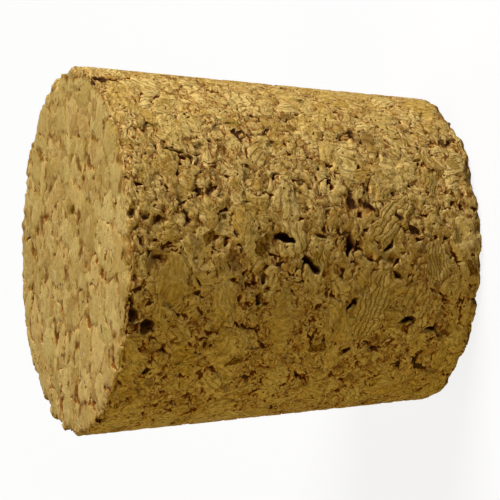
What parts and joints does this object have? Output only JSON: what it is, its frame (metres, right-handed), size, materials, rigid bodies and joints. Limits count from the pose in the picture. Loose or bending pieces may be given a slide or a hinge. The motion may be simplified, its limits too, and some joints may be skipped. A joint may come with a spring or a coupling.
{
  "type": "cork stopper",
  "caption": "Tapered round stopper pressed from cork granules and ground to a plain cone, with flat ends and open voids between the granules, for closing the neck of a flask or jar.",
  "frame": {"origin": "centre of the small end's face, which the stopper stands on", "axes": "+Z along the stopper's axis, from the small end up to the large end; +X and +Y across it"},
  "size_m": [0.038, 0.038, 0.039],
  "materials": {
    "pressed_cork": "dry, matt granulated cork, ground and left bare"
  },
  "bodies": {
    "root": {"cork_stopper": "pressed_cork"}
  },
  "joints": []
}
